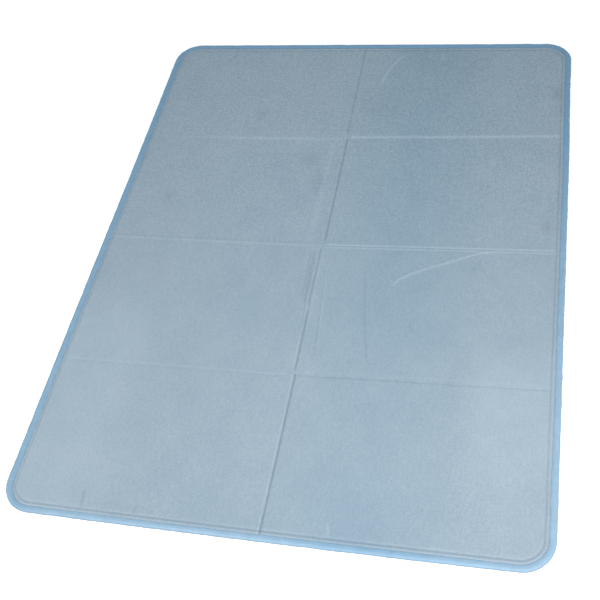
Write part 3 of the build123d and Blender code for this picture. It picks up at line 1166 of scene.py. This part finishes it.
    def tape_profile(self, run: Run) -> tuple[Array, Array]:
        """The tape's folded section at each station, with its soft unevenness.

        Args:
            run: The stations.

        Returns:
            The insets and the heights of the closed section at each station.
        """
        width, seed = self.mat.tape_width, self.tape_seed
        outside = [(width, 6.3), (9.4, 6.68), (8.2, 6.84), (6.6, 6.95), (5.0, 7.0), (3.6, 6.85), (2.3, 6.4)]
        outside += [(1.2, 5.6), (0.4, 4.6), (0.0, 3.4), (0.35, 2.3), (1.2, 1.25), (2.6, 0.45), (4.4, 0.08)]
        outside += [(6.6, 0.03), (8.6, 0.08), (width, 0.2)]
        inside = [(width - 0.2, 0.95), (6.5, 0.85), (3.6, 1.35), (1.7, 2.4), (1.2, 3.5)]
        inside += [(1.8, 4.7), (3.7, 5.7), (6.5, 6.0), (width - 0.2, 5.5)]
        shape = np.array(outside + inside)
        inset = np.repeat(shape[None, :, 0], run.gone.size, 0)
        height = np.repeat(shape[None, :, 1], run.gone.size, 0)
        x, y = run.x, run.y
        swell = 0.30 * ripples(x, y, 34, seed) + 0.2 * ripples(x, y, 11, seed + 1)
        swell = swell + 0.12 * ripples(x, y, 5, seed + 6)
        inset = inset + swell[:, None] * smooth(1 - inset / 8.0)
        lip = 0.25 * ripples(x, y, 9, seed + 2) + 0.2 * ripples(x, y, 30, seed + 3)
        inset = inset + lip[:, None] * smooth((inset - 7.5) / 2.5)
        wider = self.mat.widen(x, y)[:, None]
        crown = 0.05 + 0.16 * ripples(x, y, 21, seed + 4) + 0.12 * ripples(x, y, 8, seed + 5)
        upper = smooth((height - 3.4) / 3.0)
        stitch = 0.22 * hump(inset - self.mat.tape_stitch_inset, 0.9)
        height = height - upper * (np.abs(crown)[:, None] + stitch)
        return inset * (1 + (wider - 1) * smooth(inset / 6.0)), np.clip(height, 0.02, 7.05)

    def edge_tape(self, spot: Place, layer: Layer) -> bpy.types.Object:
        """Build the tape along a panel's or strip's outer edge."""
        run = self.edge(spot)
        inset, height = self.tape_profile(run)
        made = self.mesher.sweep(f"tape_{spot.name}", run, inset, height)
        self.dress(made, spot, layer, Tape())
        return made

    def thread(self, spot: Place, layer: Layer | None) -> bpy.types.Object:
        """Build the stitches of a panel or strip, above and below."""
        even = self.edge(spot).every(self.stitch_pitch)
        seams = [
            self.mat.widen(even.x, even.y) * self.mat.tape_stitch_inset,
            self.mat.widen_seam(even.x, even.y) * self.mat.quilt_inset,
        ]
        heights = ((6.5, 1), (5.9, 1), (0.18, -1), (0.42, -1))
        one = np.ones(even.x.size)
        rows = [(even, inset, lift * one, up) for inset, (lift, up) in zip(seams * 2, heights)]
        length = self.stitch_pitch * self.stitch_share
        made = self.mesher.stitches(f"stitches_{spot.name}", rows, length, self.thread_radius)
        self.dress(made, spot, layer, Yarn())
        return made

    def crease_strip(self, spot: Place) -> bpy.types.Object:
        """Build a crease strip: both cloths pressed together, knit above and woven below."""
        xs, ys = self.grid(spot, self.mat.margin_inset)
        x, y = np.meshgrid(xs, ys)
        top, nap = self.mat.face(x, y)
        made = self.mesher.shell(f"strip_{spot.name}", xs, ys, top, self.mat.back(x, y), self.mat.place)
        self.mesher.carry(made, "nap", np.concatenate([nap.ravel(), np.zeros(nap.size)]))
        self.dress(made, spot, Layer.STRIP, Knit())
        made.data.materials.append(self.finishes.get(Weave()))
        above = (len(xs) - 1) * (len(ys) - 1)
        finish = (np.arange(len(made.data.polygons)) >= above).astype(np.int32)
        made.data.polygons.foreach_set("material_index", finish)
        return made

    def bend(
        self,
        piece: bpy.types.Object,
        finish: object,
    ) -> None:
        """Give a piece its finish and bake its transform into its mesh."""
        piece.data.materials.append(self.finishes.get(finish))
        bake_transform(piece)
        LOG.info("%s: %d faces", piece.name, len(piece.data.polygons))

    def spine_band(self, spot: Place) -> bpy.types.Object:
        """Build the thin band of backing that wraps the centre fold along one row."""
        xs = np.linspace(-self.reach, self.reach, 25)
        low = max(spot.low, self.band_near_inset - self.mat.outline.half_l)
        high = min(spot.high, self.mat.outline.half_l - self.band_far_inset)
        ys = np.linspace(low, high, math.ceil((high - low) / 8.0) + 1)
        x, _ = np.meshgrid(xs, ys)
        made = self.mesher.shell(f"spine_{spot.name}", xs, ys, x * 0 + 0.06, x * 0 - 0.14, self.mat.place)
        self.bend(made, Weave())
        return made

    def spine_cuff(self, spot: Place, end: int) -> bpy.types.Object:
        """Build the tape that wraps the centre fold at the near or far edge."""
        count = 25
        along = np.linspace(-self.reach, self.reach, count)
        flat, one = np.zeros(count), np.ones(count)
        run = Run(along, one * end * self.mat.outline.half_l, flat, -one * end, along - along[0])
        made = self.cuff(f"spine_cuff_{spot.name}", run, True)
        self.bend(made, Tape())
        return made

    def cuff(self, name: str, run: Run, under: bool) -> bpy.types.Object:
        """Build a short, thin length of tape over the edge: its lower half, or its upper half."""
        inset, height = self.tape_profile(run)
        lower_half, upper_half = slice(6, 17), slice(0, 12)
        outside = lower_half if under else upper_half
        section = np.stack([inset[:, outside], height[:, outside]], -1)
        out = section - np.array([5.0, 3.5])
        out /= np.linalg.norm(out, axis=-1, keepdims=True)
        outer, inner = section + out * np.array([0.1, 0.08]), section - out * self.wrap_wall
        loop = np.concatenate([outer, inner[:, ::-1]], 1)
        return self.mesher.sweep(name, run, loop[..., 0], loop[..., 1])

    def middle_band(self, hinge: Hinge) -> bpy.types.Object:
        """Build the thin band of face cloth that wraps the middle fold of the right half."""
        xs = self.mesher.levels(0.0, self.mat.outline.half_w - 9.0, [(0.0, 8.0, 0.9), (8.0, 36.0, 1.7)], 2.4)
        ys = np.linspace(-self.reach, self.reach, 25) + hinge.line
        x, y = np.meshgrid(xs, ys)
        top, nap = self.mat.face(x, y)
        made = self.mesher.shell("middle_band", xs, ys, top + 0.012, top - 0.2, self.mat.place)
        self.mesher.carry(made, "nap", np.concatenate([nap.ravel(), nap.ravel()]))
        self.bend(made, Knit())
        return made

    def middle_cuff(self, hinge: Hinge) -> bpy.types.Object:
        """Build the tape that wraps the middle fold at the right edge."""
        run = edge_run(self.mat.outline, 1, hinge.line - self.reach, hinge.line + self.reach, 0.0, 0.5)
        made = self.cuff("middle_cuff", run, False)
        self.bend(made, Tape())
        return made

    def roll(self, hinge: Hinge, spot: Place, way: int) -> bpy.types.Object:
        """Build the rounded outside of a fold, tucked into the neighbour while the mat lies flat.

        Args:
            hinge: The fold line.
            spot: The panel or strip that the roll is sewn to.
            way: 1 if its neighbour is further along the mat, -1 if nearer.

        Returns:
            The roll, which rides on its panel or strip.
        """
        # the roll on the far side of a fold is the smaller, so the two nest
        radius = (self.back_roll_radii if hinge.opens_up else self.face_roll_radii)[way > 0]
        full_turn = self.back_roll_turn if hinge.opens_up else self.face_roll_turn
        turn = np.radians(np.linspace(0.0, full_turn, 15))
        down = -1.0 if hinge.opens_up else 1.0
        xs = self.mesher.levels(0.6, self.mat.outline.half_w - 0.8, [(438.0, 450.0, 1.2)], 12.0) * spot.side
        outer = np.full(xs.size, radius)
        if spot.side > 0 and hinge.opens_up:
            dome = np.radians(np.array([78.0, 66.0, 54.0, 42.0, 30.0, 18.0, 6.0]))
            xs = np.concatenate([-radius * np.sin(dome), xs])
            outer = np.concatenate([(radius - self.dome_drop) * np.cos(dome), outer])
        outer, under = outer[:, None], np.maximum(outer - self.wrap_wall, 0.2)[:, None]
        loop_y = np.concatenate([outer * np.sin(turn), under * np.sin(turn[::-1])], 1) * way + hinge.line
        loop_z = np.concatenate([outer * np.cos(turn), under * np.cos(turn[::-1])], 1) * down + hinge.pivot
        x = np.repeat(xs[:, None], loop_y.shape[1], 1)
        px, py = self.mat.place(x, loop_y)
        count, size = x.shape
        number = np.arange(count * size).reshape(count, size)
        a, b = number[:-1], number[1:]
        skin = np.stack([a, b, np.roll(b, -1, 1), np.roll(a, -1, 1)], -1).reshape(-1, 4)
        faces = skin.tolist() + [number[0].tolist(), number[-1, ::-1].tolist()]
        if spot.side * way * down > 0:
            faces = [face[::-1] for face in faces]
        points = np.stack([px, py, loop_z], -1).reshape(-1, 3)
        name = f"roll_{spot.name}_{'far' if way > 0 else 'near'}"
        made = self.mesher.piece(name, points, faces, len(skin))
        finish, slot = (Weave(), "back_cloth") if hinge.opens_up else (Knit(), "face_cloth")
        self.dress(made, spot, None, finish)
        made.data.materials.append(self.finishes.get(Tape()))
        edge = np.abs(xs[:-1]) > self.mat.outline.half_w - self.mat.tape_width - 0.5
        taped = np.concatenate([np.repeat(edge, size), [False, True]]).astype(np.int32)
        made.data.polygons.foreach_set("material_index", taped)
        # painted shade at half strength on the roll's tape
        self.mesher.carry(made, "tape_shade", np.full(count * size, 0.5))
        if spot.side < 0:
            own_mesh(made)
        return made

    def wrap_folds(self) -> None:
        """Build the pieces that close the outside of every fold."""
        spots = {spot.name: spot for spot in self.places}
        for spot in self.places:
            if spot.side > 0:
                self.spine_band(spot)
        self.spine_cuff(spots["r1"], -1)
        self.spine_cuff(spots["r4"], 1)
        for hinge in self.hinges:
            if not hinge.opens_up:
                self.middle_band(hinge)
                self.middle_cuff(hinge)
            for column in ("r", "l") if hinge.opens_up else ("l",):
                self.roll(hinge, spots[column + hinge.near], 1)
                self.roll(hinge, spots[column + hinge.far], -1)

    def build(self) -> None:
        """Build every piece of every panel and strip."""
        self.wrap_folds()
        for spot in self.places:
            if len(spot.name) == 2:
                self.face_cloth(spot)
                self.back_cloth(spot)
                self.foam_pad(spot)
                self.gel_pack(spot)
                self.edge_tape(spot, Layer.TAPE)
                self.thread(spot, Layer.THREAD)
            else:
                self.crease_strip(spot)
                self.edge_tape(spot, Layer.STRIP_TAPE)
                self.thread(spot, None)


@dataclass(frozen=True)
class Studio:
    """A plain pale floor and soft lights."""

    floor_size: float = 12.0
    floor_drop: float = 0.0002
    warmth: tuple[float, float, float] = (1.08, 1.0, 0.97)

    def lamp(
        self, name: str, place: tuple[float, float, float], size: float, power: float, spread: float
    ) -> None:
        """Add a soft square light that faces just beyond the mat's middle."""
        data = bpy.data.lights.new(name, "AREA")
        data.size = size
        data.energy = power
        data.color = self.warmth
        data.spread = math.radians(spread)
        made = add_object(name, data)
        made.location = place
        made.rotation_euler = (Vector((0.0, 0.15, 0.0)) - Vector(place)).to_track_quat("-Z", "Y").to_euler()

    def make(self) -> None:
        """Add the floor, the lights and the room's own light."""
        half = self.floor_size / 2
        mesh = bpy.data.meshes.new("floor")
        corners = [(-half, -half), (half, -half), (half, half), (-half, half)]
        mesh.from_pydata([(x, y, -self.floor_drop) for x, y in corners], [], [(0, 1, 2, 3)])
        floor = add_object("floor", mesh)
        t = Tree("pale_floor")
        grain = t.noise((40, 40, 40), 2.0)
        pale = t.blend(grain, paint(246, 246, 246), paint(250, 250, 250))
        t.surface(pale, 0.9, {"Emission Color": (1.0, 1.0, 1.0, 1.0), "Emission Strength": 0.35})
        mesh.materials.append(t.material)
        self.lamp("key", (1.0, -1.6, 1.2), 0.8, 9.6, 75.0)
        self.lamp("fill", (-0.9, -1.3, 1.2), 0.9, 17.0, 180.0)
        world = bpy.data.worlds.new("room")
        world.use_nodes = True
        back = world.node_tree.nodes["Background"]
        back.inputs["Color"].default_value = (0.85, 1.0, 1.1, 1.0)
        back.inputs["Strength"].default_value = 0.52
        bpy.context.scene.world = world
        bpy.context.scene.view_settings.view_transform = "Standard"


def joint_place(name: str) -> Vector:
    """Where a hinge's axis lies, in millimetres."""
    found = next(j for j in frame["joints"] if j["name"] == name)
    return Vector(found["pos_m"]) / MM


def main() -> None:
    """Build the mat and its studio, piece by piece."""
    logging.basicConfig(level=logging.INFO, format="%(message)s")
    low, high = (Vector(corner) / MM for corner in CAD_BOX)
    outline = Outline(high.x, high.y, 55.0)
    mat = Mat(outline, FOLDS)
    hinges = ("row_fold", "row_fold_near_upper", "row_fold_middle")
    hinges += ("row_fold_far_lower", "row_fold_far_upper")
    lines = [low.y] + [joint_place(name).y for name in hinges] + [high.y]
    rows = ("1", "12", "2", "3", "34", "4")
    places = []
    for side_name, side in (("r", 1), ("l", -1)):
        for row, start, end in zip(rows, lines[:-1], lines[1:]):
            kind = "panel" if len(row) == 1 else "crease"
            name = side_name + row
            places.append(Place(name, f"{kind}_{name}", side, start, end))
    folds = [Hinge(joint_place(n).y, joint_place(n).z, a, b) for n, a, b in zip(hinges, rows[:-1], rows[1:])]
    CoolingMat(mat, places, folds).build()
    Viewpoint().make()
    Studio().make()


if __name__ == "__main__":
    main()
